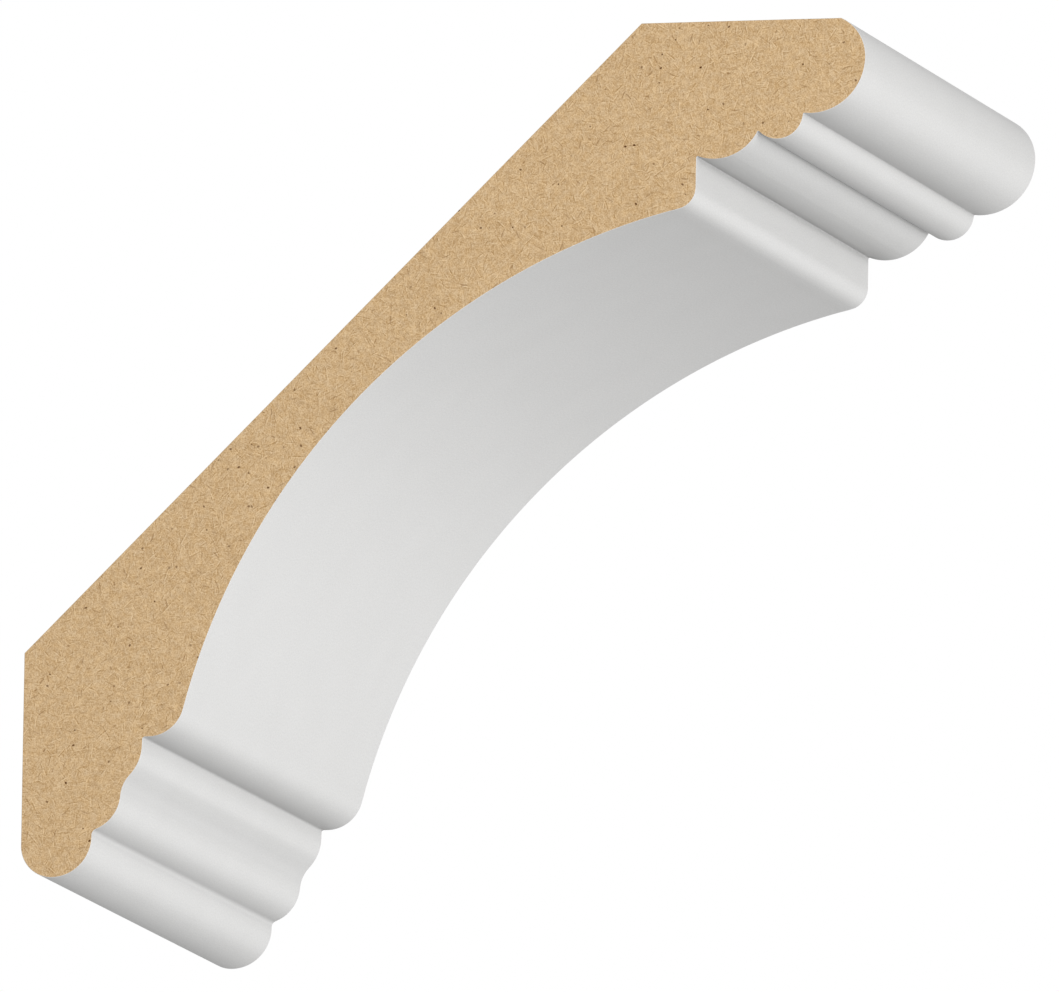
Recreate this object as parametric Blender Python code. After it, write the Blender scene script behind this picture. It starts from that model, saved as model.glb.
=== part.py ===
"""Crown moulding: a short length, moulded from fibreboard and sawn square at both ends.

It is modelled as it is fitted, in the corner between a wall and a ceiling. The wall face is
upright at X = 0, the ceiling face is level on top, the plain back slants between the two and the
moulded face looks out and down. X runs out from the wall, Y along the moulding and Z up, and the
origin is the middle of the wall face. Lengths are in metres.
"""

import math

import bmesh
import bpy
from mathutils import Vector

PART_NAME = "crown_moulding"

# The whole section
PROJECTION = 0.0789
DROP = 0.0776
LENGTH = 0.0600
WALL_FACE_HEIGHT = 0.0178
CEILING_FACE_WIDTH = 0.0189

# Bullnose at the ceiling: its nose is the part that stands furthest out
NOSE_DEPTH = 0.00365
NOSE_TO_CEILING_TIP = 0.00235
BULLNOSE_DEPTH = 0.0087
BULLNOSE_SETBACK = 0.0058

# Beads under the bullnose, each between two quirks, and swelling by its rise past their chord
SMALL_BEAD_SETBACK = 0.00425
SMALL_BEAD_DROP = 0.0015
SMALL_BEAD_RISE = 0.00153
BROAD_BEAD_SETBACK = 0.0058
BROAD_BEAD_DROP = 0.0022
BROAD_BEAD_RISE = 0.00122

# Upright fillet, the cove between its two rounded lips, and the soffit under it. The fillet and
# the soffit are measured to the sharp arrises that the lips round off.
FILLET_HEIGHT = 0.0045
UPPER_LIP_RADIUS = 0.0020
BOARD_BEHIND_COVE = 0.0057
LOWER_LIP_RADIUS = 0.00335
SOFFIT_DEPTH = 0.00325

# Wavy run under the cove, from the soffit down to the toe: neck, ovolo, hollow, bead
NECK_HEIGHT = 0.0007
OVOLO_SETBACK = 0.00113
OVOLO_DROP = 0.0028
HOLLOW_SETBACK = 0.00085
HOLLOW_DROP = 0.0019
LOWER_BEAD_SETBACK = 0.0027
LOWER_BEAD_DROP = 0.00315

# Toe bead at the wall
TOE_WIDTH = 0.0067
TOE_HEIGHT = 0.00425
TOE_RADIUS = 0.0030

# How far a facet may stray from the true arc, and the angle that stays a crisp edge
FACET_ERROR = 0.000004
CREASE_ANGLE = math.radians(30)
WELD_DISTANCE = 0.000001
SAME_FACING = math.cos(math.radians(0.5))

FIBREBOARD_COLOUR = (0.60, 0.42, 0.23, 1.0)
FIBREBOARD_ROUGHNESS = 0.85
PRIMER_COLOUR = (0.85, 0.85, 0.84, 1.0)
PRIMER_ROUGHNESS = 0.45

UP = Vector((0.0, 1.0))
DOWN = Vector((0.0, -1.0))
OUT = Vector((1.0, 0.0))


def arc(centre, start, sweep):
    """Points after start along an arc about centre. A positive sweep runs anticlockwise."""
    spoke = start - centre
    step = 2.0 * math.acos(1.0 - min(FACET_ERROR / spoke.length, 1.0))
    count = max(2, math.ceil(abs(sweep) / step))
    points = []
    for index in range(1, count + 1):
        angle = sweep * index / count
        turned = Vector((
            spoke.x * math.cos(angle) - spoke.y * math.sin(angle),
            spoke.x * math.sin(angle) + spoke.y * math.cos(angle),
        ))
        points.append(centre + turned)
    return points


def turn_between(first, second):
    """Angle from one direction to another, positive anticlockwise, within half a turn."""
    return math.atan2(first.x * second.y - first.y * second.x, first.dot(second))


def tangent_arc(start, heading, end):
    """Points after start along the arc that leaves start along heading and ends at end."""
    chord = end - start
    sweep = 2.0 * turn_between(heading, chord)
    left = Vector((-heading.y, heading.x)).normalized()
    radius = chord.length_squared / (2.0 * chord.dot(left))
    return arc(start + left * radius, start, sweep)


def heading_after(start, heading, end):
    """Direction in which tangent_arc(start, heading, end) arrives at its end."""
    chord = end - start
    mirrored = chord * (2.0 * heading.dot(chord) / chord.length_squared) - heading
    return mirrored.normalized()


def tangent_chain(start, heading, ends):
    """Arcs through each of the ends in turn, with no corner where one runs into the next."""
    points = [start]
    for end in ends:
        points += tangent_arc(start, heading, end)
        heading = heading_after(start, heading, end)
        start = end
    return points


def bulge_circle(start, end, rise):
    """Centre and radius of the circle through start and end that bulges by rise to the right."""
    chord = end - start
    half = chord.length / 2.0
    radius = (half * half + rise * rise) / (2.0 * rise)
    left = Vector((-chord.y, chord.x)).normalized()
    return (start + end) / 2.0 + left * (radius - rise), radius


def rise_arc(start, end, rise):
    """Points after start along the arc that stands rise proud of the chord, on its right side."""
    centre, _ = bulge_circle(start, end, rise)
    return arc(centre, start, 4.0 * math.atan2(rise, (end - start).length / 2.0))


def largest_lip(wall_end, inward, centre, radius):
    """Radius of the lip that would use up the whole wall between the cove and wall_end."""
    away = centre - wall_end
    return (away.length_squared - radius**2) / (2.0 * (radius + inward.dot(away)))


def cove_and_lips(soffit, fillet_foot, back_foot, back_top):
    """The soffit's rounded lip, the cove, and the rounded lip that runs up into the fillet."""
    lower_arris = soffit + OUT * SOFFIT_DEPTH
    upper_arris = fillet_foot + DOWN * FILLET_HEIGHT
    back = (back_top - back_foot).normalized()
    from_back = (lower_arris + upper_arris) / 2.0 - back_foot
    depth = from_back.x * back.y - from_back.y * back.x - BOARD_BEHIND_COVE
    centre, cove_radius = bulge_circle(upper_arris, lower_arris, depth)

    radius = min(LOWER_LIP_RADIUS, largest_lip(soffit, UP, centre, cove_radius))
    lip_up = soffit.y + radius
    reach = cove_radius + radius
    lower_lip = Vector((centre.x - math.sqrt(reach**2 - (centre.y - lip_up) ** 2), lip_up))
    soffit_end = lower_lip + DOWN * radius

    radius = min(UPPER_LIP_RADIUS, largest_lip(fillet_foot, -OUT, centre, cove_radius))
    lip_out = fillet_foot.x - radius
    reach = cove_radius + radius
    upper_lip = Vector((lip_out, centre.y + math.sqrt(reach**2 - (centre.x - lip_out) ** 2)))

    to_lower = lower_lip - centre
    to_upper = upper_lip - centre
    cove_start = centre + to_lower.normalized() * cove_radius
    cove_end = centre + to_upper.normalized() * cove_radius
    points = [soffit_end]
    points += arc(lower_lip, soffit_end, turn_between(DOWN, -to_lower))
    points += arc(centre, cove_start, turn_between(to_lower, to_upper))
    points += arc(upper_lip, cove_end, turn_between(-to_upper, OUT))
    return points


def section_outline():
    """The section, anticlockwise from the top of the wall face, out and up from the room corner."""
    nose = Vector((PROJECTION, -NOSE_DEPTH))
    ceiling_tip = Vector((PROJECTION - NOSE_TO_CEILING_TIP, 0.0))
    bullnose_quirk = Vector((PROJECTION - BULLNOSE_SETBACK, -BULLNOSE_DEPTH))
    bead_quirk = bullnose_quirk - Vector((SMALL_BEAD_SETBACK, SMALL_BEAD_DROP))
    fillet_foot = bead_quirk - Vector((BROAD_BEAD_SETBACK, BROAD_BEAD_DROP))

    toe_bottom = Vector((TOE_RADIUS, -DROP))
    wall_foot = Vector((0.0, -DROP + TOE_RADIUS))
    wall_top = wall_foot + UP * WALL_FACE_HEIGHT
    ceiling_back = ceiling_tip - OUT * CEILING_FACE_WIDTH
    toe_quirk = Vector((TOE_WIDTH, -DROP + TOE_HEIGHT))
    hollow_foot = toe_quirk + Vector((LOWER_BEAD_SETBACK, LOWER_BEAD_DROP))
    ovolo_foot = hollow_foot + Vector((HOLLOW_SETBACK, HOLLOW_DROP))
    neck = ovolo_foot + Vector((OVOLO_SETBACK, OVOLO_DROP))
    soffit = neck + UP * NECK_HEIGHT

    outline = [wall_top, wall_foot]
    outline += tangent_arc(wall_foot, DOWN, toe_bottom)
    outline += tangent_arc(toe_bottom, OUT, toe_quirk)
    wave = tangent_chain(neck, DOWN, [ovolo_foot, hollow_foot, toe_quirk])
    outline += reversed(wave[:-1])
    outline += [soffit]
    outline += cove_and_lips(soffit, fillet_foot, wall_top, ceiling_back)
    outline += [fillet_foot]
    outline += rise_arc(fillet_foot, bead_quirk, BROAD_BEAD_RISE)
    outline += rise_arc(bead_quirk, bullnose_quirk, SMALL_BEAD_RISE)
    under_nose = [nose] + tangent_arc(nose, DOWN, bullnose_quirk)
    outline += reversed(under_nose[:-1])
    outline += tangent_arc(nose, UP, ceiling_tip)
    outline += [ceiling_back]
    return outline


def wall_face_middle():
    """Height of the middle of the wall face, from the ceiling."""
    return -DROP + TOE_RADIUS + WALL_FACE_HEIGHT / 2.0


def section_curve(name):
    """The section as a flat closed curve, filled and drawn out to the moulding's length."""
    outline = section_outline()
    curve = bpy.data.curves.new(name, "CURVE")
    curve.dimensions = "2D"
    curve.fill_mode = "BOTH"
    curve.extrude = LENGTH / 2.0
    spline = curve.splines.new("POLY")
    spline.points.add(len(outline) - 1)
    for point, place in zip(spline.points, outline):
        point.co = (place.x, place.y - wall_face_middle(), 0.0, 1.0)
    spline.use_cyclic_u = True
    return bpy.data.objects.new(name, curve)


def as_closed_mesh(curve_object, name, collection):
    """A mesh object made from the curve, with its caps welded on and its round faces smooth."""
    bpy.context.view_layer.update()
    evaluated = curve_object.evaluated_get(bpy.context.evaluated_depsgraph_get())
    mesh = bpy.data.meshes.new_from_object(evaluated)
    mesh.name = name
    shape = bmesh.new()
    shape.from_mesh(mesh)
    bmesh.ops.remove_doubles(shape, verts=shape.verts, dist=WELD_DISTANCE)
    bmesh.ops.recalc_face_normals(shape, faces=shape.faces)
    shape.to_mesh(mesh)
    shape.free()
    mesh.shade_smooth()
    mesh.set_sharp_from_angle(angle=CREASE_ANGLE)
    solid = bpy.data.objects.new(name, mesh)
    solid.matrix_world = curve_object.matrix_world
    collection.objects.link(solid)
    bpy.data.objects.remove(curve_object)
    return solid


def finish(name, colour, roughness):
    """A plain material that isn't metal."""
    material = bpy.data.materials.new(name)
    material.use_nodes = True
    shader = material.node_tree.nodes["Principled BSDF"]
    shader.inputs["Base Color"].default_value = colour
    shader.inputs["Roughness"].default_value = roughness
    shader.inputs["Metallic"].default_value = 0.0
    return material


def coat_moulded_face(mesh):
    """Primer on the moulded face, and bare board on the sawn ends and the three flat sides."""
    mesh.materials.append(finish("fibreboard", FIBREBOARD_COLOUR, FIBREBOARD_ROUGHNESS))
    mesh.materials.append(finish("primer", PRIMER_COLOUR, PRIMER_ROUGHNESS))
    outline = section_outline()
    slope = outline[0] - outline[-1]
    back = Vector((slope.y, -slope.x)).normalized()
    bare_sides = [-OUT, UP, back]
    for polygon in mesh.polygons:
        facing = Vector((polygon.normal.x, polygon.normal.y))
        bare = facing.length < 0.5 or any(facing.dot(side) > SAME_FACING for side in bare_sides)
        polygon.material_index = 0 if bare else 1


def main():
    for old in list(bpy.data.objects):
        bpy.data.objects.remove(old, do_unlink=True)
    collection = bpy.data.collections.new(PART_NAME)
    bpy.context.scene.collection.children.link(collection)
    section = section_curve(PART_NAME + "_section")
    section.rotation_euler.x = math.radians(90)
    collection.objects.link(section)
    moulding = as_closed_mesh(section, PART_NAME, collection)
    coat_moulded_face(moulding.data)


main()
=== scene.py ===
"""A short length of crown moulding, as it looks: sawn fibreboard with a white primed face.

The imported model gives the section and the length. This script cuts a finer board from that
section, breaks its sawn arrises, rounds the bottoms of its quirks, and gives each face its finish.
"""

import logging
import math
from bisect import bisect_right
from dataclasses import dataclass
from enum import Enum
from typing import Optional, Union

import bmesh
import bpy
from mathutils import Matrix, Vector


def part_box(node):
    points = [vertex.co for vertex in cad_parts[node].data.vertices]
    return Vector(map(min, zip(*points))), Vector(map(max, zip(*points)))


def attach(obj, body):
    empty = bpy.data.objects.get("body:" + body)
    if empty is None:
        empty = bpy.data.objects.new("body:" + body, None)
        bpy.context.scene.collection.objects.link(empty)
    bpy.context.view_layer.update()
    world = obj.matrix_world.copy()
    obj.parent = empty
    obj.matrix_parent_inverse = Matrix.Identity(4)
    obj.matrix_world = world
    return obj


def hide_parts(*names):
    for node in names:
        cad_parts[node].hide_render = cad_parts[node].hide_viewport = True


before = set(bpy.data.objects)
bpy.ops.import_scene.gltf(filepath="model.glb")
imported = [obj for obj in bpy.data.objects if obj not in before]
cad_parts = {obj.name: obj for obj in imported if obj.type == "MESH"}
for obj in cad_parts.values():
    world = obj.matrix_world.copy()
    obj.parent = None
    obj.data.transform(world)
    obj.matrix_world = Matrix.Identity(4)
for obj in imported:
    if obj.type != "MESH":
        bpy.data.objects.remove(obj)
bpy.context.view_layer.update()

LOG = logging.getLogger("crown_moulding")
NODE = "crown_moulding"
MM = 0.001
WHITE = (1.0, 1.0, 1.0, 1.0)

# The names that the board's mesh and its finishes share.
GRAIN_MAP = "grain"
# How much painted shade each place of the primer gets, in its quirks and under its steps.
PAINTED_SHADE = "painted_shade"

Value = Union["Signal", bpy.types.NodeSocket, float, tuple]
Settings = dict[str, object]
Sockets = dict[Union[str, int], Value]
Colour = tuple[float, float, float, float]
Ring = list[bmesh.types.BMVert]


class Signal:
    """A number that varies over a surface. Arithmetic on it adds Math nodes to its graph."""

    def __init__(self, graph: "Graph", socket: bpy.types.NodeSocket) -> None:
        """Wraps one output socket of the graph."""
        self.graph = graph
        self.socket = socket

    def _math(self, operation: str, *values: Value) -> "Signal":
        """The result of one Math node."""
        return self.graph.signal("ShaderNodeMath", {"operation": operation}, dict(enumerate(values)))

    def __add__(self, other: Value) -> "Signal":
        """Sum."""
        return self._math("ADD", self, other)

    def __radd__(self, other: Value) -> "Signal":
        """Sum, with the signal on the right."""
        return self._math("ADD", other, self)

    def __sub__(self, other: Value) -> "Signal":
        """Difference."""
        return self._math("SUBTRACT", self, other)

    def __rsub__(self, other: Value) -> "Signal":
        """Difference, with the signal on the right."""
        return self._math("SUBTRACT", other, self)

    def __mul__(self, other: Value) -> "Signal":
        """Product."""
        return self._math("MULTIPLY", self, other)

    def __rmul__(self, other: Value) -> "Signal":
        """Product, with the signal on the right."""
        return self._math("MULTIPLY", other, self)

    def above(self, level: Value) -> "Signal":
        """One where the signal is over the level, and nought elsewhere."""
        return self._math("GREATER_THAN", self, level)

    def lesser(self, other: Value) -> "Signal":
        """The smaller of the signal and another value."""
        return self._math("MINIMUM", self, other)

    def ramp(self, low: float, high: float) -> "Signal":
        """A smooth climb from nought at low to one at high, held level outside them."""
        sockets = {"Value": self, "From Min": low, "From Max": high}
        return self.graph.signal("ShaderNodeMapRange", {"interpolation_type": "SMOOTHSTEP"}, sockets)


class Graph:
    """The nodes of a material or of the surroundings, made by type, settings and sockets."""

    # A Mix node's sockets for colours, by number, because its other types use the same names.
    MIX_SHARE = 0
    MIX_FIRST = 6
    MIX_SECOND = 7
    MIX_RESULT = 2

    def __init__(self, owner: Union[bpy.types.Material, bpy.types.World]) -> None:
        """Starts from the nodes that a new material or world has.

        Args:
            owner: What holds the nodes.
        """
        owner.use_nodes = True
        self.tree = owner.node_tree

    def node(
        self, kind: str, settings: Optional[Settings] = None, sockets: Optional[Sockets] = None
    ) -> bpy.types.Node:
        """Adds a node.

        Args:
            kind: The node's type.
            settings: Its own settings, which are set first.
            sockets: Values or links, by the input's name or number.

        Returns:
            The node.
        """
        made = self.tree.nodes.new(kind)
        for name, setting in (settings or {}).items():
            setattr(made, name, setting)
        for key, value in (sockets or {}).items():
            self.feed(made.inputs[key], value)
        return made

    def signal(
        self,
        kind: str,
        settings: Optional[Settings] = None,
        sockets: Optional[Sockets] = None,
        output: Union[str, int] = 0,
    ) -> Signal:
        """Adds a node and wraps one of its outputs, as node() does for the rest."""
        return Signal(self, self.node(kind, settings, sockets).outputs[output])

    def feed(self, socket: bpy.types.NodeSocket, value: Value) -> None:
        """Gives a socket what it works with.

        Args:
            socket: The input.
            value: A signal or an output, which is linked to it, or a value, which is set on it.
        """
        if isinstance(value, Signal):
            self.tree.links.new(value.socket, socket)
        elif isinstance(value, bpy.types.NodeSocket):
            self.tree.links.new(value, socket)
        else:
            socket.default_value = value

    def shade(self, socket: str, value: Value) -> None:
        """Feeds one socket of the material's own shader."""
        self.feed(self.tree.nodes["Principled BSDF"].inputs[socket], value)

    def bump(self, height: Signal, depth: float) -> None:
        """Raises the surface by the height times the depth, in metres."""
        made = self.node("ShaderNodeBump", sockets={"Height": height, "Distance": depth, "Strength": 1.0})
        self.shade("Normal", made.outputs[0])

    def vector(self, operation: str, first: Value, second: Value) -> bpy.types.NodeSocket:
        """The vector that one Vector Math node gives."""
        return self.node("ShaderNodeVectorMath", {"operation": operation}, {0: first, 1: second}).outputs[0]

    def blend(self, share: Value, first: Value, second: Value) -> bpy.types.NodeSocket:
        """Two colours mixed, the second by the share given."""
        sockets = {self.MIX_SHARE: share, self.MIX_FIRST: first, self.MIX_SECOND: second}
        return self.node("ShaderNodeMix", {"data_type": "RGBA"}, sockets).outputs[self.MIX_RESULT]

    def parts(self, vector: Value) -> tuple[Signal, Signal]:
        """The first two components of a vector."""
        made = self.node("ShaderNodeSeparateXYZ", sockets={0: vector})
        return Signal(self, made.outputs[0]), Signal(self, made.outputs[1])

    def turned(self, vector: Value, turn: Signal) -> bpy.types.NodeSocket:
        """A vector turned round in the surface, by a share of a full turn."""
        sockets = {"Vector": vector, "Angle": turn * math.tau}
        return self.node("ShaderNodeVectorRotate", {"rotation_type": "Z_AXIS"}, sockets).outputs[0]

    def grain_map(self) -> bpy.types.NodeSocket:
        """Place on the board's surface in millimetres, unrolled flat."""
        flat = self.node("ShaderNodeUVMap", {"uv_map": GRAIN_MAP}).outputs[0]
        return self.vector("MULTIPLY", flat, (1 / MM, 1 / MM, 0.0))

    def cells(self, place: Value, size: float) -> bpy.types.Node:
        """Cells of about the size in millimetres, each with a colour and a middle of its own."""
        sockets = {"Vector": place, "Scale": 1 / size}
        return self.node("ShaderNodeTexVoronoi", {"voronoi_dimensions": "2D"}, sockets)

    def noise(self, place: Value, size: float, detail: float, roughness: float = 0.5) -> bpy.types.Node:
        """Soft random tone and colour, with lumps of about the size in millimetres."""
        sockets = {"Vector": place, "Scale": 1 / size, "Detail": detail, "Roughness": roughness}
        return self.node("ShaderNodeTexNoise", {"noise_dimensions": "2D"}, sockets)


@dataclass(frozen=True)
class SoftTone:
    """Soft random lumps, lighter and darker. The size is in millimetres."""

    size: float
    detail: float
    share: float = 1.0
    roughness: float = 0.5

    def raw(self, graph: Graph, place: Value) -> Signal:
        """How light the lumps are, from nought to one."""
        return Signal(graph, graph.noise(place, self.size, self.detail, self.roughness).outputs[0])

    def even(self, graph: Graph, place: Value) -> Signal:
        """How light the lumps are, with about a half to each side of nought."""
        return self.raw(graph, place) - 0.5

    def lay(self, graph: Graph, place: Value) -> Signal:
        """The lumps by their share of the whole, about nought."""
        return self.even(graph, place) * self.share


@dataclass(frozen=True)
class FibreLayer:
    """A layer of loose fibres, one to a cell at most, each lying its own way. In millimetres."""

    cell: float
    length: float
    width: float
    share: float
    shift: float
    bend: float = 0.4
    core: float = 0.2

    # How strongly the faintest fibre shows.
    FAINTEST = 0.4
    # How far beside a fibre the painted shadow along its foot lies, in halves of the fibre's width.
    FOOT = 1.1

    def measure(self, graph: Graph, place: Value) -> tuple[Signal, Signal, Signal]:
        """Measures each place against the fibre of its own cell.

        Args:
            graph: The graph that the nodes go in.
            place: Place on the surface, in millimetres.

        Returns:
            How far along the fibre and how far across it the place is, each one at the fibre's
            edge, and how strongly the fibre shows.
        """
        moved = graph.vector("ADD", place, (self.shift, -self.shift, 0.0))
        cells = graph.cells(moved, self.cell)
        chance = graph.node("ShaderNodeSeparateColor", sockets={0: cells.outputs["Color"]})
        turn, pick, weight = (Signal(graph, socket) for socket in chance.outputs)
        from_middle = graph.vector("SUBTRACT", moved, cells.outputs["Position"])
        along, across = graph.parts(graph.turned(from_middle, turn))
        along = along * (2 / self.length)
        across = across * (2 / self.width) + along * along * (weight - 0.5) * (2 * self.bend)
        strength = weight * (1 - self.FAINTEST) + self.FAINTEST
        return along, across, pick.above(1 - self.share) * strength

    def body(self, along: Signal, across: Signal) -> Signal:
        """One on the fibre's core, falling to nought at its edge."""
        return 1 - (along * along + across * across).ramp(self.core, 1.0)

    def mask(self, graph: Graph, place: Value) -> Signal:
        """Where the fibres are, from nought, off them, to one or less on them."""
        along, across, strength = self.measure(graph, place)
        return self.body(along, across) * strength

    def ridge_with_painted_light(self, graph: Graph, place: Value) -> Signal:
        """Raised fibres: painted light along the crest and painted shadow along the foot beside it."""
        along, across, strength = self.measure(graph, place)
        return (self.body(along, across) - self.body(along, across - self.FOOT)) * strength


@dataclass(frozen=True)
class FibreMat:
    """Pressed fibres all over, lying together in small patches. In millimetres."""

    patch: float
    length: float
    width: float
    shift: float

    def tone(self, graph: Graph, place: Value) -> Signal:
        """How light the fibres are.

        Args:
            graph: The graph that the nodes go in.
            place: Place on the surface, in millimetres.

        Returns:
            A signal with about a half to each side of nought.
        """
        moved = graph.vector("ADD", place, (-self.shift, self.shift, 0.0))
        turn, _ = graph.parts(graph.cells(moved, self.patch).outputs["Color"])
        laid = graph.turned(moved, turn)
        drawn_out = graph.vector("MULTIPLY", laid, (self.width / self.length, 1.0, 0.0))
        return SoftTone(size=self.width, detail=1.0).even(graph, drawn_out)


@dataclass(frozen=True)
class Primer:
    """White spray primer: smooth and satin, with painted shade where a step or a quirk shelters it."""

    light: Colour = (0.720, 0.717, 0.708, 1.0)
    dark: Colour = (0.648, 0.645, 0.636, 1.0)
    # The grey of the painted shade in the quirks and under the steps.
    painted_shade_dark: Colour = (0.271, 0.27, 0.267, 1.0)
    roughness: float = 0.42
    peel_depth: float = 0.004 * MM
    contrast: tuple[float, float] = (-0.2, 0.2)

    clouds: SoftTone = SoftTone(size=6.0, detail=3.0, share=0.12)
    flecks: SoftTone = SoftTone(size=0.35, detail=2.0, share=0.28)
    dust: SoftTone = SoftTone(size=0.16, detail=1.0, share=0.6)
    dull_spots: SoftTone = SoftTone(size=0.35, detail=2.0, share=0.08)
    peel: SoftTone = SoftTone(size=0.9, detail=2.0)

    def dress(self, name: str) -> bpy.types.Material:
        """Makes the finish.

        Args:
            name: What the material is called.

        Returns:
            The material.
        """
        material = bpy.data.materials.new(name)
        graph = Graph(material)
        place = graph.grain_map()
        tone = sum(layer.lay(graph, place) for layer in (self.clouds, self.flecks, self.dust))
        coat = graph.blend(tone.ramp(*self.contrast), self.dark, self.light)
        # Painted shade: the primer turns grey in the quirks and under the steps, standing in for shadow
        # there.
        painted_shade = graph.signal("ShaderNodeAttribute", {"attribute_name": PAINTED_SHADE}, output="Fac")
        graph.shade("Base Color", graph.blend(painted_shade, coat, self.painted_shade_dark))
        graph.shade("Roughness", self.dull_spots.lay(graph, place) + self.roughness)
        graph.bump(self.peel.raw(graph, place), self.peel_depth)
        return material


@dataclass(frozen=True)
class SawnBoard:
    """The sawn end of the board: pressed fibres cut across, with bark specks."""

    light: Colour = (0.765, 0.563, 0.336, 1.0)
    dark: Colour = (0.418, 0.256, 0.112, 1.0)
    brown_fibre: Colour = (0.25, 0.12, 0.038, 1.0)
    bark: Colour = (0.12, 0.042, 0.008, 1.0)
    ruddy_tint: Colour = (1.03, 0.99, 0.90, 1.0)
    grey_tint: Colour = (0.97, 1.01, 1.10, 1.0)
    roughness: float = 0.9
    gloss: float = 0.1
    relief: float = 0.03 * MM
    contrast: tuple[float, float] = (-0.5, 0.5)

    # The fibres lie along lines that sway gently from side to side.
    sway_size: float = 2.0
    sway_reach: tuple[float, float, float] = (0.6, 0.6, 0.0)

    mats: tuple[FibreMat, ...] = (
        FibreMat(patch=1.6, length=0.9, width=0.18, shift=11.3),
        FibreMat(patch=2.4, length=1.4, width=0.25, shift=47.9),
        FibreMat(patch=1.0, length=0.6, width=0.14, shift=83.1),
    )
    mat_share: float = 0.22
    strands: tuple[FibreLayer, ...] = (
        FibreLayer(cell=0.8, length=0.7, width=0.14, share=0.55, shift=29.9),
        FibreLayer(cell=1.0, length=1.0, width=0.15, share=0.5, shift=97.1),
        FibreLayer(cell=1.5, length=1.6, width=0.16, share=0.4, shift=61.3),
    )
    strand_share: float = 0.24
    grain: SoftTone = SoftTone(size=0.24, detail=1.0, share=0.42)
    dust: SoftTone = SoftTone(size=0.13, detail=0.0, share=0.5)
    blotches: SoftTone = SoftTone(size=0.8, detail=1.0, share=0.28)
    clouds: SoftTone = SoftTone(size=4.0, detail=3.0, share=0.12)
    tints: SoftTone = SoftTone(size=0.65, detail=2.0)

    browned: FibreLayer = FibreLayer(
        cell=1.6, length=1.0, width=0.15, share=0.45, shift=131.7, bend=1.0, core=0.4
    )
    browned_strength: float = 0.5
    chips: FibreLayer = FibreLayer(cell=1.9, length=0.5, width=0.19, share=0.2, shift=203.4)
    chip_strength: float = 0.6
    specks: tuple[FibreLayer, ...] = (
        FibreLayer(cell=1.8, length=0.3, width=0.21, share=0.14, shift=171.5, bend=0.3, core=0.4),
        FibreLayer(cell=1.3, length=0.2, width=0.17, share=0.06, shift=88.8, bend=0.0, core=0.3),
    )

    def swayed(self, graph: Graph, place: Value) -> bpy.types.NodeSocket:
        """Each place moved a little from side to side, for fibres that don't lie straight."""
        sway = graph.noise(place, self.sway_size, 0.0).outputs["Color"]
        return graph.vector("ADD", place, graph.vector("MULTIPLY", sway, self.sway_reach))

    def dress(self, name: str) -> bpy.types.Material:
        """Makes the finish.

        Args:
            name: What the material is called.

        Returns:
            The material.
        """
        material = bpy.data.materials.new(name)
        graph = Graph(material)
        place = graph.grain_map()
        swayed = self.swayed(graph, place)
        fibres = sum(mat.tone(graph, swayed) for mat in self.mats) * self.mat_share
        # The raised fibres also go into the colour: painted light on each crest and painted shadow at its
        # foot.
        strands = sum(layer.ridge_with_painted_light(graph, place) for layer in self.strands) * self.strand_share
        height = fibres + strands + self.grain.lay(graph, place) + self.dust.lay(graph, place)
        tone = height + self.blotches.lay(graph, place) + self.clouds.lay(graph, place)
        tint = graph.blend(self.tints.raw(graph, place), self.ruddy_tint, self.grey_tint)
        colour = graph.blend(tone.ramp(*self.contrast), self.dark, self.light)
        colour = graph.vector("MULTIPLY", colour, tint)
        browned = self.browned.mask(graph, place) * self.browned_strength
        chips = self.chips.mask(graph, place) * self.chip_strength
        specks = sum(layer.mask(graph, place) for layer in self.specks).lesser(1.0)
        for mask, shade in ((browned, self.brown_fibre), (chips, self.brown_fibre), (specks, self.bark)):
            colour = graph.blend(mask, colour, shade)
        graph.shade("Base Color", colour)
        graph.shade("Roughness", self.roughness)
        graph.shade("Specular IOR Level", self.gloss)
        graph.bump(height - browned - chips - specks, self.relief)
        return material


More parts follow.
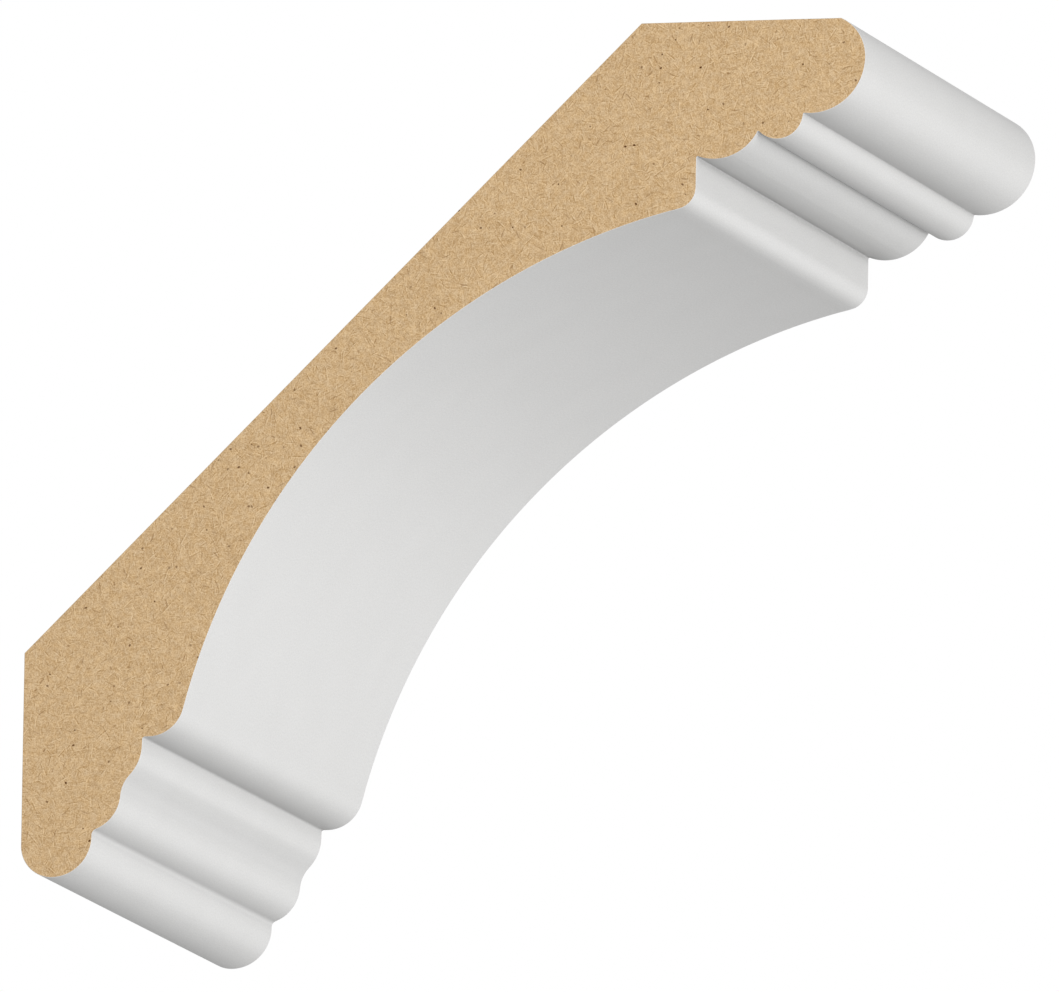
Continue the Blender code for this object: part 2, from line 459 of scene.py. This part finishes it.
@dataclass(frozen=True)
class RawFace:
    """The board's flat sides: sanded, unpainted, with primer blown over beside the primed face.

    The girth is how far the flat sides reach round the board. It and the relief are in metres, and
    the other sizes are in millimetres.
    """

    girth: float
    light: Colour = (0.60, 0.42, 0.235, 1.0)
    dark: Colour = (0.47, 0.315, 0.165, 1.0)
    pale_fibre: Colour = (0.74, 0.57, 0.36, 1.0)
    brown_fibre: Colour = (0.25, 0.145, 0.065, 1.0)
    primer: Colour = (0.695, 0.692, 0.683, 1.0)
    roughness: float = 0.7
    primer_gloss: float = 0.2
    relief: float = 0.005 * MM
    contrast: tuple[float, float] = (-0.2, 0.2)

    lumps: SoftTone = SoftTone(size=0.35, detail=3.0, share=0.45, roughness=0.6)
    clouds: SoftTone = SoftTone(size=9.0, detail=3.0, share=0.25)
    sanding: SoftTone = SoftTone(size=1.0, detail=2.0, share=0.3)
    sanding_stretch: tuple[float, float, float] = (2.6, 0.02, 0.0)
    pale: FibreLayer = FibreLayer(cell=1.6, length=1.7, width=0.13, share=0.7, shift=29.3)
    pale_strength: float = 0.5
    brown: FibreLayer = FibreLayer(cell=2.0, length=1.5, width=0.12, share=0.55, shift=67.7)
    brown_strength: float = 0.55

    # The primer blown over: how far it reaches, how its edge wanders, and how it breaks up.
    overspray: float = 9.0
    wander: SoftTone = SoftTone(size=12.0, detail=2.0, share=5.0)
    mist_strength: float = 1.3
    mist_lost: float = 0.3
    droplets: SoftTone = SoftTone(size=0.3, detail=2.0, share=1.6, roughness=0.7)

    def spray(self, graph: Graph, place: Value) -> Signal:
        """How thickly the primer is blown over.

        Args:
            graph: The graph that the nodes go in.
            place: Place on the surface, in millimetres.

        Returns:
            One beside the primed face, falling to nought away from it.
        """
        around, _ = graph.parts(place)
        reach = around.lesser(self.girth / MM - around)
        mist = 1 - (reach + self.wander.lay(graph, place)).ramp(0.0, self.overspray)
        return (mist * self.mist_strength + self.droplets.lay(graph, place) - self.mist_lost).ramp(0.0, 1.0)

    def dress(self, name: str) -> bpy.types.Material:
        """Makes the finish.

        Args:
            name: What the material is called.

        Returns:
            The material.
        """
        material = bpy.data.materials.new(name)
        graph = Graph(material)
        place = graph.grain_map()
        lumps = self.lumps.even(graph, place)
        sanding = self.sanding.even(graph, graph.vector("MULTIPLY", place, self.sanding_stretch))
        tone = lumps * self.lumps.share + self.clouds.lay(graph, place) + sanding * self.sanding.share
        colour = graph.blend(tone.ramp(*self.contrast), self.dark, self.light)
        colour = graph.blend(self.pale.mask(graph, place) * self.pale_strength, colour, self.pale_fibre)
        colour = graph.blend(self.brown.mask(graph, place) * self.brown_strength, colour, self.brown_fibre)
        spray = self.spray(graph, place)
        graph.shade("Base Color", graph.blend(spray, colour, self.primer))
        graph.shade("Roughness", self.roughness - spray * self.primer_gloss)
        graph.bump(lumps + sanding, self.relief)
        return material


class Skin(Enum):
    """What covers a face of the board. The value is its place in the board's list of materials."""

    SAWN = 0
    PRIMED = 1
    RAW = 2


@dataclass
class Section:
    """The closed outline of the board, anticlockwise, as places out from the wall and up.

    The first primed_count edges are the moulded face, from the foot of the wall face round to the
    tip of the ceiling face. The rest are the ceiling face, the back and the wall face.
    """

    places: list[Vector]
    primed_count: int

    # Points closer than this are one point, or lie in one flat side.
    TOUCHING = 0.001 * MM
    # A point less deep than this lies on the end.
    END_DEPTH = 0.01 * MM

    # A corner that turns by more than this stays crisp. A longer edge than this is a straight run.
    CRISP_TURN = math.radians(25)
    STRAIGHT = 2.5 * MM

    # How finely the arcs are divided, the shortest edge beside a quirk's round, and how straight
    # runs are divided in the middle and next to their ends.
    FINE_STEP = 0.16 * MM
    LEAST_STEP = 0.04 * MM
    BROAD_STEP = 3.0 * MM
    EDGE_STEP = 0.3 * MM

    # How full the round in a quirk is, as its speed at the ends for each length of its chord.
    ROUND_PULL = 1.2

    # How strongly a step and a narrow hollow darken a place with painted shade, and how far that is
    # softened.
    STEP_SHARE = 0.82
    HOLLOW_SHARE = 4.5
    HOLLOW_MOST = 0.15
    SOFTENED_OVER = 0.3 * MM

    @classmethod
    def from_node(cls, node: bpy.types.Object) -> "Section":
        """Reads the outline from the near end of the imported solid.

        Args:
            node: The solid's object.

        Returns:
            The solid's own outline, starting at the foot of its wall face.
        """
        shape = bmesh.new()
        shape.from_mesh(node.data)
        bmesh.ops.remove_doubles(shape, verts=shape.verts, dist=cls.TOUCHING)
        near = min(vert.co.y for vert in shape.verts)
        on_end = {vert for vert in shape.verts if vert.co.y < near + cls.END_DEPTH}
        rim = [
            edge
            for edge in shape.edges
            if set(edge.verts) <= on_end
            and sum(set(face.verts) <= on_end for face in edge.link_faces) == 1
        ]
        following = {}
        for edge in rim:
            for vert in edge.verts:
                following.setdefault(vert, []).append(edge.other_vert(vert))
        start = rim[0].verts[0]
        loop = [start, following[start][0]]
        while len(loop) < len(rim):
            loop.append(next(vert for vert in following[loop[-1]] if vert is not loop[-2]))
        places = [Vector((vert.co.x, vert.co.z)) for vert in loop]
        shape.free()
        turning = sum(a.x * b.y - b.x * a.y for a, b in zip(places, places[1:] + places[:1]))
        if turning < 0:
            places.reverse()
        return cls.from_wall_foot(places)

    @classmethod
    def from_wall_foot(cls, places: list[Vector]) -> "Section":
        """Turns a closed outline round to start where the wall face ends.

        Args:
            places: The outline, anticlockwise, from any start.

        Returns:
            The section, with its moulded face first.
        """
        wall = min(place.x for place in places)
        ceiling = max(place.y for place in places)
        on_wall = [i for i, place in enumerate(places) if place.x < wall + cls.TOUCHING]
        foot = min(on_wall, key=lambda i: places[i].y)
        places = places[foot:] + places[:foot]
        on_ceiling = [i for i, place in enumerate(places) if place.y > ceiling - cls.TOUCHING]
        return cls(places, min(on_ceiling))

    def chord(self, index: int) -> Vector:
        """The step from one place to the next."""
        count = len(self.places)
        return self.places[(index + 1) % count] - self.places[index % count]

    def turn(self, index: int) -> float:
        """The angle by which the outline turns left at a place."""
        before, after = self.chord(index - 1), self.chord(index)
        return math.atan2(before.x * after.y - before.y * after.x, before.dot(after))

    def heading(self, index: int, chord_index: int) -> Vector:
        """The outline's direction at a place, as an edge beside it leaves or reaches it.

        Args:
            index: The place.
            chord_index: The edge, which starts or ends at the place.

        Returns:
            The direction, as a unit vector.
        """
        own = self.chord(chord_index)
        if own.length > self.STRAIGHT or abs(self.turn(index)) > self.CRISP_TURN:
            return own.normalized()
        before, after = self.chord(index - 1), self.chord(index)
        for side in (before, after):
            if side.length > self.STRAIGHT:
                return side.normalized()
        lean = before.normalized() * after.length + after.normalized() * before.length
        return lean.normalized()

    def refined(self) -> "Section":
        """Divides the arcs finely, and holds the straight runs straight.

        Returns:
            The finer outline.
        """
        places, primed = [], 0
        for index, start in enumerate(self.places):
            chord = self.chord(index)
            if index == self.primed_count:
                primed = len(places)
            if chord.length > self.STRAIGHT:
                shares = self.straight_shares(chord.length)
            else:
                count = max(1, round(chord.length / self.FINE_STEP))
                shares = [step / count for step in range(count)]
            leave = self.heading(index, index) * chord.length
            reach = self.heading(index + 1 - len(self.places), index) * chord.length
            places += [hermite(start, leave, start + chord, reach, share) for share in shares]
        return Section(places, primed)

    def straight_shares(self, length: float) -> list[float]:
        """Where a straight run is divided: close to its ends, and evenly between.

        Args:
            length: How long the run is.

        Returns:
            Shares of the run, from nought, with its far end left out.
        """
        edge = self.EDGE_STEP / length
        count = max(1, round((length - 2 * self.EDGE_STEP) / self.BROAD_STEP))
        return [0.0] + [edge + (1 - 2 * edge) * step / count for step in range(count + 1)]

    def eased(self, radii: tuple[float, ...], steps: int = 8) -> "Section":
        """Rounds the bottom of each quirk.

        Args:
            radii: The rounds' radii, one for each quirk from the toe up.
            steps: How many edges each round has.

        Returns:
            The new outline.
        """
        girth = self.lengths()
        quirks = [index for index in range(len(self.places)) if self.turn(index) < -self.CRISP_TURN]
        reaches = {quirk: radius * math.tan(-self.turn(quirk) / 2) for quirk, radius in zip(quirks, radii)}
        cleared = [(girth[quirk], reach + self.LEAST_STEP) for quirk, reach in reaches.items()]
        places, primed = [], 0
        for index, place in enumerate(self.places):
            if index == self.primed_count:
                primed = len(places)
            if index in reaches:
                places += self.round_at(girth, girth[index], reaches[index], steps)
            elif all(abs(girth[index] - middle) > clear for middle, clear in cleared):
                places.append(place)
        return Section(places, primed)

    def round_at(self, girth: list[float], middle: float, reach: float, steps: int) -> list[Vector]:
        """The curve that takes the outline's place within a reach of one of its quirks.

        Args:
            girth: How far along the outline each place is.
            middle: How far along it the quirk is.
            reach: How far to each side of the quirk the curve runs.
            steps: How many edges it has.

        Returns:
            The curve's places.
        """
        first, leave = self.at(girth, middle - reach)
        last, arrive = self.at(girth, middle + reach)
        pull = (last - first).length * self.ROUND_PULL
        shares = [step / steps for step in range(steps + 1)]
        return [hermite(first, leave * pull, last, arrive * pull, share) for share in shares]

    def at(self, girth: list[float], distance: float) -> tuple[Vector, Vector]:
        """Finds a point on the outline.

        Args:
            girth: How far along the outline each place is.
            distance: How far along it the point is.

        Returns:
            The point, and the outline's direction there.
        """
        index = bisect_right(girth, distance) - 1
        chord = self.chord(index)
        share = (distance - girth[index]) / chord.length
        leave, reach = self.heading(index, index), self.heading(index + 1, index)
        return self.places[index] + chord * share, leave.lerp(reach, share).normalized()

    def inset(self, depth: float) -> list[Vector]:
        """Moves the outline into the board by the same depth everywhere.

        Args:
            depth: How far in.

        Returns:
            The moved places, one for each of the outline's own.
        """
        moved = []
        for index, place in enumerate(self.places):
            before, after = self.chord(index - 1).normalized(), self.chord(index).normalized()
            inward = Vector((-before.y - after.y, before.x + after.x)).normalized()
            slant = inward.dot(Vector((-before.y, before.x)))
            moved.append(place + inward * (depth / slant))
        return moved

    def painted_shade(self, reach: float) -> list[float]:
        """How much painted shade each place gets, as a step or a narrow hollow beside it shelters it.

        A step shelters what looks up or down beside it more than what looks out into the room. A
        hollow with a wall to each side shelters whatever way it faces.

        Args:
            reach: How far along the outline a neighbour counts.

        Returns:
            For each place, nought in the open and towards one deep under a step.
        """
        girth = self.lengths()
        painted_shade_dark = []
        for index in range(len(self.places)):
            along = (self.chord(index - 1).normalized() + self.chord(index).normalized()).normalized()
            outward = Vector((along.y, -along.x))
            below, above = (self.walled(index, step, along, outward, girth, reach) for step in (-1, 1))
            beside_step = math.hypot(math.sin(below / 2), math.sin(above / 2)) * (1 - outward.x)
            in_hollow = min(self.HOLLOW_SHARE * math.sin(below) * math.sin(above), self.HOLLOW_MOST)
            painted_shade_dark.append(self.STEP_SHARE * beside_step + in_hollow)
        return self.softened(painted_shade_dark, girth)

    def softened(self, amounts: list[float], girth: list[float]) -> list[float]:
        """Averages each amount along the outline with those near it, so that none ends hard.

        Args:
            amounts: One amount for each place.
            girth: How far along the outline each place is.

        Returns:
            The softer amounts.
        """
        spans = [self.chord(index - 1).length + self.chord(index).length for index in range(len(amounts))]
        soft = []
        for middle in girth[:-1]:
            near = [max(0.0, self.SOFTENED_OVER - abs(place - middle)) for place in girth]
            shares = [span * nearness for span, nearness in zip(spans, near)]
            soft.append(sum(share * amount for share, amount in zip(shares, amounts)) / sum(shares))
        return soft

    def walled(
        self, index: int, step: int, along: Vector, outward: Vector, girth: list[float], reach: float
    ) -> float:
        """How high the outline stands to one side of a place.

        Args:
            index: The place.
            step: Minus one to look back along the outline, and one to look on.
            along: The outline's direction at the place.
            outward: The way the place faces.
            girth: How far along the outline each place is.
            reach: How far along the outline a neighbour counts.

        Returns:
            The steepest angle up from the place to its neighbours on that side.
        """
        steepest, other = 0.0, index + step
        while 0 <= other < len(self.places) and abs(girth[other] - girth[index]) < reach:
            offset = self.places[other] - self.places[index]
            rise, run = offset.dot(outward), offset.dot(along) * step
            steepest = max(steepest, math.atan2(rise, run) if rise > 0 else 0.0)
            other += step
        return steepest

    def lengths(self) -> list[float]:
        """Measures the way along the outline.

        Returns:
            How far each place is from the first, with the whole girth at the end.
        """
        total = [0.0]
        for index in range(len(self.places)):
            total.append(total[-1] + self.chord(index).length)
        return total


def hermite(start: Vector, leave: Vector, end: Vector, reach: Vector, share: float) -> Vector:
    """A place on the smooth curve between two places.

    Args:
        start: Where the curve starts.
        leave: Its speed there.
        end: Where it ends.
        reach: Its speed there.
        share: How far along it the place is, from nought to one.

    Returns:
        The place.
    """
    square, cube = share * share, share * share * share
    return (
        start * (2 * cube - 3 * square + 1)
        + leave * (cube - 2 * square + share)
        + end * (3 * square - 2 * cube)
        + reach * (cube - square)
    )


@dataclass
class Board:
    """The moulding: one piece of fibreboard, sawn square at both ends."""

    section: Section
    near: float
    far: float
    arris: float = 0.03 * MM
    # One radius for each quirk, from the toe up.
    quirk_radii: tuple[float, ...] = (0.55 * MM, 0.25 * MM, 0.12 * MM, 0.1 * MM, 0.12 * MM)
    ring_gap: float = 2.0 * MM
    # How far along the outline a neighbour counts for the painted shade.
    painted_shade_reach: float = 6.0 * MM

    # An edge that turns by more than this is shaded as a sharp one.
    SHARP = math.radians(32)
    # How far the sawn grain moves on for each metre of board, so that the two ends don't match.
    GRAIN_DRIFT = 5

    def build(self) -> bpy.types.Object:
        """Makes the board's mesh and gives it its finishes.

        Returns:
            The board's object.
        """
        outline = self.section.refined().eased(self.quirk_radii)
        shape = bmesh.new()
        rings = self.rings(shape, outline)
        grain = shape.loops.layers.uv.new(GRAIN_MAP)
        self.cover_sides(shape, rings, outline, grain)
        self.cover_end(shape, rings[0], grain)
        self.cover_end(shape, rings[-1][::-1], grain)
        mesh = bpy.data.meshes.new("moulded_board")
        shape.to_mesh(mesh)
        shape.free()
        mesh.shade_smooth()
        mesh.set_sharp_from_angle(angle=self.SHARP)
        # Painted shade: how far steps and quirks shelter each place, kept on the mesh to grey the primer
        # there.
        painted_shade = outline.painted_shade(self.painted_shade_reach)
        mesh.attributes.new(PAINTED_SHADE, "FLOAT", "POINT").data.foreach_set("value", painted_shade * len(rings))
        board = bpy.data.objects.new("moulded_board", mesh)
        bpy.context.scene.collection.objects.link(board)
        girth = outline.lengths()
        mesh.materials.append(SawnBoard().dress("sawn_fibreboard"))
        mesh.materials.append(Primer().dress("white_primer"))
        mesh.materials.append(RawFace(girth[-1] - girth[outline.primed_count]).dress("raw_fibreboard"))
        return board

    def rings(self, shape: bmesh.types.BMesh, outline: Section) -> list[Ring]:
        """Repeats the outline along the board, drawn in at both ends where the arris is broken.

        Args:
            shape: The mesh being made.
            outline: The board's outline.

        Returns:
            The rings, from the near end to the far one.
        """
        drawn_in = outline.inset(self.arris)
        span = self.far - self.near - 2 * self.arris
        count = round(span / self.ring_gap)
        stations = [self.near + self.arris + span * step / count for step in range(count + 1)]
        rings = [self.ring(shape, drawn_in, self.near)]
        rings += [self.ring(shape, outline.places, station) for station in stations]
        rings.append(self.ring(shape, drawn_in, self.far))
        return rings

    def ring(self, shape: bmesh.types.BMesh, places: list[Vector], along: float) -> Ring:
        """One outline at its place along the board."""
        return [shape.verts.new((place.x, along, place.y)) for place in places]

    def cover_sides(
        self, shape: bmesh.types.BMesh, rings: list[Ring], outline: Section, grain: bmesh.types.BMLayerItem
    ) -> None:
        """Covers the moulded face, the flat sides and the broken arrises.

        Args:
            shape: The mesh being made.
            rings: The outline's rings along the board.
            outline: The board's outline.
            grain: The map that unrolls the surface flat.
        """
        girth = outline.lengths()
        offset = girth[outline.primed_count]
        count = len(outline.places)
        for first, second in zip(rings, rings[1:]):
            for index in range(count):
                after = (index + 1) % count
                corners = (first[index], second[index], second[after], first[after])
                face = shape.faces.new(corners)
                primed = index < outline.primed_count
                face.material_index = (Skin.PRIMED if primed else Skin.RAW).value
                start = 0.0 if primed else offset
                rounds = (girth[index], girth[index], girth[index + 1], girth[index + 1])
                for loop, vert, place in zip(face.loops, corners, rounds):
                    loop[grain].uv = (place - start, vert.co.y)

    def cover_end(self, shape: bmesh.types.BMesh, ring: Ring, grain: bmesh.types.BMLayerItem) -> None:
        """Covers one sawn end, its grain laid out from the section's own place.

        Args:
            shape: The mesh being made.
            ring: The end's ring, anticlockwise as seen from outside.
            grain: The map that unrolls the surface flat.
        """
        face = shape.faces.new(ring)
        face.material_index = Skin.SAWN.value
        for loop in face.loops:
            out, along, up = loop.vert.co
            loop[grain].uv = (out + self.far - along * self.GRAIN_DRIFT, up)
        face.normal_update()
        bmesh.ops.triangulate(shape, faces=[face], ngon_method="BEAUTY")


@dataclass(frozen=True)
class SoftBox:
    """A soft studio light, aimed at the board. Azimuth nought is in front of the near end."""

    name: str
    azimuth: float
    elevation: float
    power: float
    width: float = 0.8
    distance: float = 1.3

    def place(self, target: Vector) -> None:
        """Hangs the light.

        Args:
            target: Where it is aimed.
        """
        light = bpy.data.lights.new(self.name, "AREA")
        light.shape = "DISK"
        light.size = self.width
        light.energy = self.power
        box = bpy.data.objects.new(self.name, light)
        outward = direction(self.azimuth, self.elevation)
        box.location = target + outward * self.distance
        box.rotation_euler = (-outward).to_track_quat("-Z", "Y").to_euler()
        bpy.context.scene.collection.objects.link(box)


def direction(azimuth: float, elevation: float) -> Vector:
    """The way from the board towards a viewer or a light.

    Args:
        azimuth: The angle round the board, in degrees, from nought in front of the near end.
        elevation: The angle above the level, in degrees.

    Returns:
        A unit vector.
    """
    round_by, up_by = math.radians(azimuth), math.radians(elevation)
    level = math.cos(up_by)
    return Vector((math.sin(round_by) * level, -math.cos(round_by) * level, math.sin(up_by)))


@dataclass(frozen=True)
class Studio:
    """A pale room far larger than the board: floor, soft light, white surroundings and camera."""

    # The middle of the picture, halfway along the board: how far out from the wall, and how high.
    aim_out: float = 39.304 * MM
    aim_up: float = 27.011 * MM
    view_azimuth: float = 15.741
    view_elevation: float = -8.657
    view_roll: float = 0.967
    view_width: float = 97.4 * MM
    lens: float = 1550.0
    sensor: float = 36.0
    clip_ratio: float = 10.0

    floor_drop: float = 2.4
    floor_span: float = 30.0
    floor_light: Colour = (0.85, 0.85, 0.85, 1.0)
    floor_dark: Colour = (0.82, 0.82, 0.82, 1.0)
    floor_roughness: float = 0.8
    floor_tone: SoftTone = SoftTone(size=0.4, detail=2.0)

    surround: float = 0.53
    lights: tuple[SoftBox, ...] = (
        SoftBox("key_light", azimuth=45.0, elevation=-5.7, power=13.2),
        SoftBox("rim_light", azimuth=150.0, elevation=-15.0, power=1.8),
        SoftBox("back_light", azimuth=225.0, elevation=30.0, power=9.5),
    )

    @property
    def target(self) -> Vector:
        """Where the camera and the lights are aimed."""
        return Vector((self.aim_out, 0.0, self.aim_up))

    def build(self) -> None:
        """Sets up everything round the board."""
        self.lay_floor()
        self.light_surroundings()
        for light in self.lights:
            light.place(self.target)
        self.set_camera()

    def lay_floor(self) -> None:
        """A pale floor as far below the board as a floor is below its ceiling."""
        shape = bmesh.new()
        bmesh.ops.create_grid(shape, x_segments=1, y_segments=1, size=self.floor_span / 2)
        mesh = bpy.data.meshes.new("studio_floor")
        shape.to_mesh(mesh)
        shape.free()
        floor = bpy.data.objects.new("studio_floor", mesh)
        floor.location = self.target - Vector((0.0, 0.0, self.floor_drop))
        material = bpy.data.materials.new("pale_floor")
        graph = Graph(material)
        place = graph.node("ShaderNodeTexCoord").outputs["Object"]
        tone = self.floor_tone.raw(graph, place)
        graph.shade("Base Color", graph.blend(tone, self.floor_dark, self.floor_light))
        graph.shade("Roughness", self.floor_roughness)
        mesh.materials.append(material)
        bpy.context.scene.collection.objects.link(floor)

    def light_surroundings(self) -> None:
        """White all round to the camera, and a softer white to the board."""
        world = bpy.data.worlds.new("surroundings")
        bpy.context.scene.world = world
        graph = Graph(world)
        glow = graph.tree.nodes["Background"]
        graph.feed(glow.inputs["Color"], WHITE)
        graph.feed(glow.inputs["Strength"], self.surround)
        seen = graph.node("ShaderNodeBackground", sockets={"Color": WHITE})
        path = graph.node("ShaderNodeLightPath")
        sockets = {0: path.outputs["Is Camera Ray"], 1: glow.outputs[0], 2: seen.outputs[0]}
        choice = graph.node("ShaderNodeMixShader", sockets=sockets)
        graph.feed(graph.tree.nodes["World Output"].inputs["Surface"], choice.outputs[0])

    def set_camera(self) -> None:
        """A very long lens from the front and a little below, so that parallel edges look parallel."""
        data = bpy.data.cameras.new("camera")
        data.lens = self.lens
        data.sensor_width = self.sensor
        back = direction(self.view_azimuth, self.view_elevation)
        distance = self.view_width * self.lens / self.sensor
        data.clip_start = distance / self.clip_ratio
        data.clip_end = distance * self.clip_ratio
        camera = bpy.data.objects.new("camera", data)
        level = (-back).to_track_quat("-Z", "Y").to_matrix()
        roll = Matrix.Rotation(math.radians(self.view_roll), 3, back)
        camera.matrix_world = Matrix.Translation(self.target + back * distance) @ (roll @ level).to_4x4()
        bpy.context.scene.collection.objects.link(camera)
        bpy.context.scene.camera = camera
        bpy.context.scene.view_settings.view_transform = "Standard"


def main() -> None:
    """Builds the board and the studio, and reports them."""
    logging.basicConfig(level=logging.INFO, format="%(name)s: %(message)s")
    low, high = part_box(NODE)
    board = Board(Section.from_node(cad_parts[NODE]), low.y, high.y).build()
    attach(board, "root")
    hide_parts(NODE)
    LOG.info("%s: %d faces", board.name, len(board.data.polygons))
    Studio().build()
    LOG.info("studio: ready")


if __name__ == "__main__":
    main()
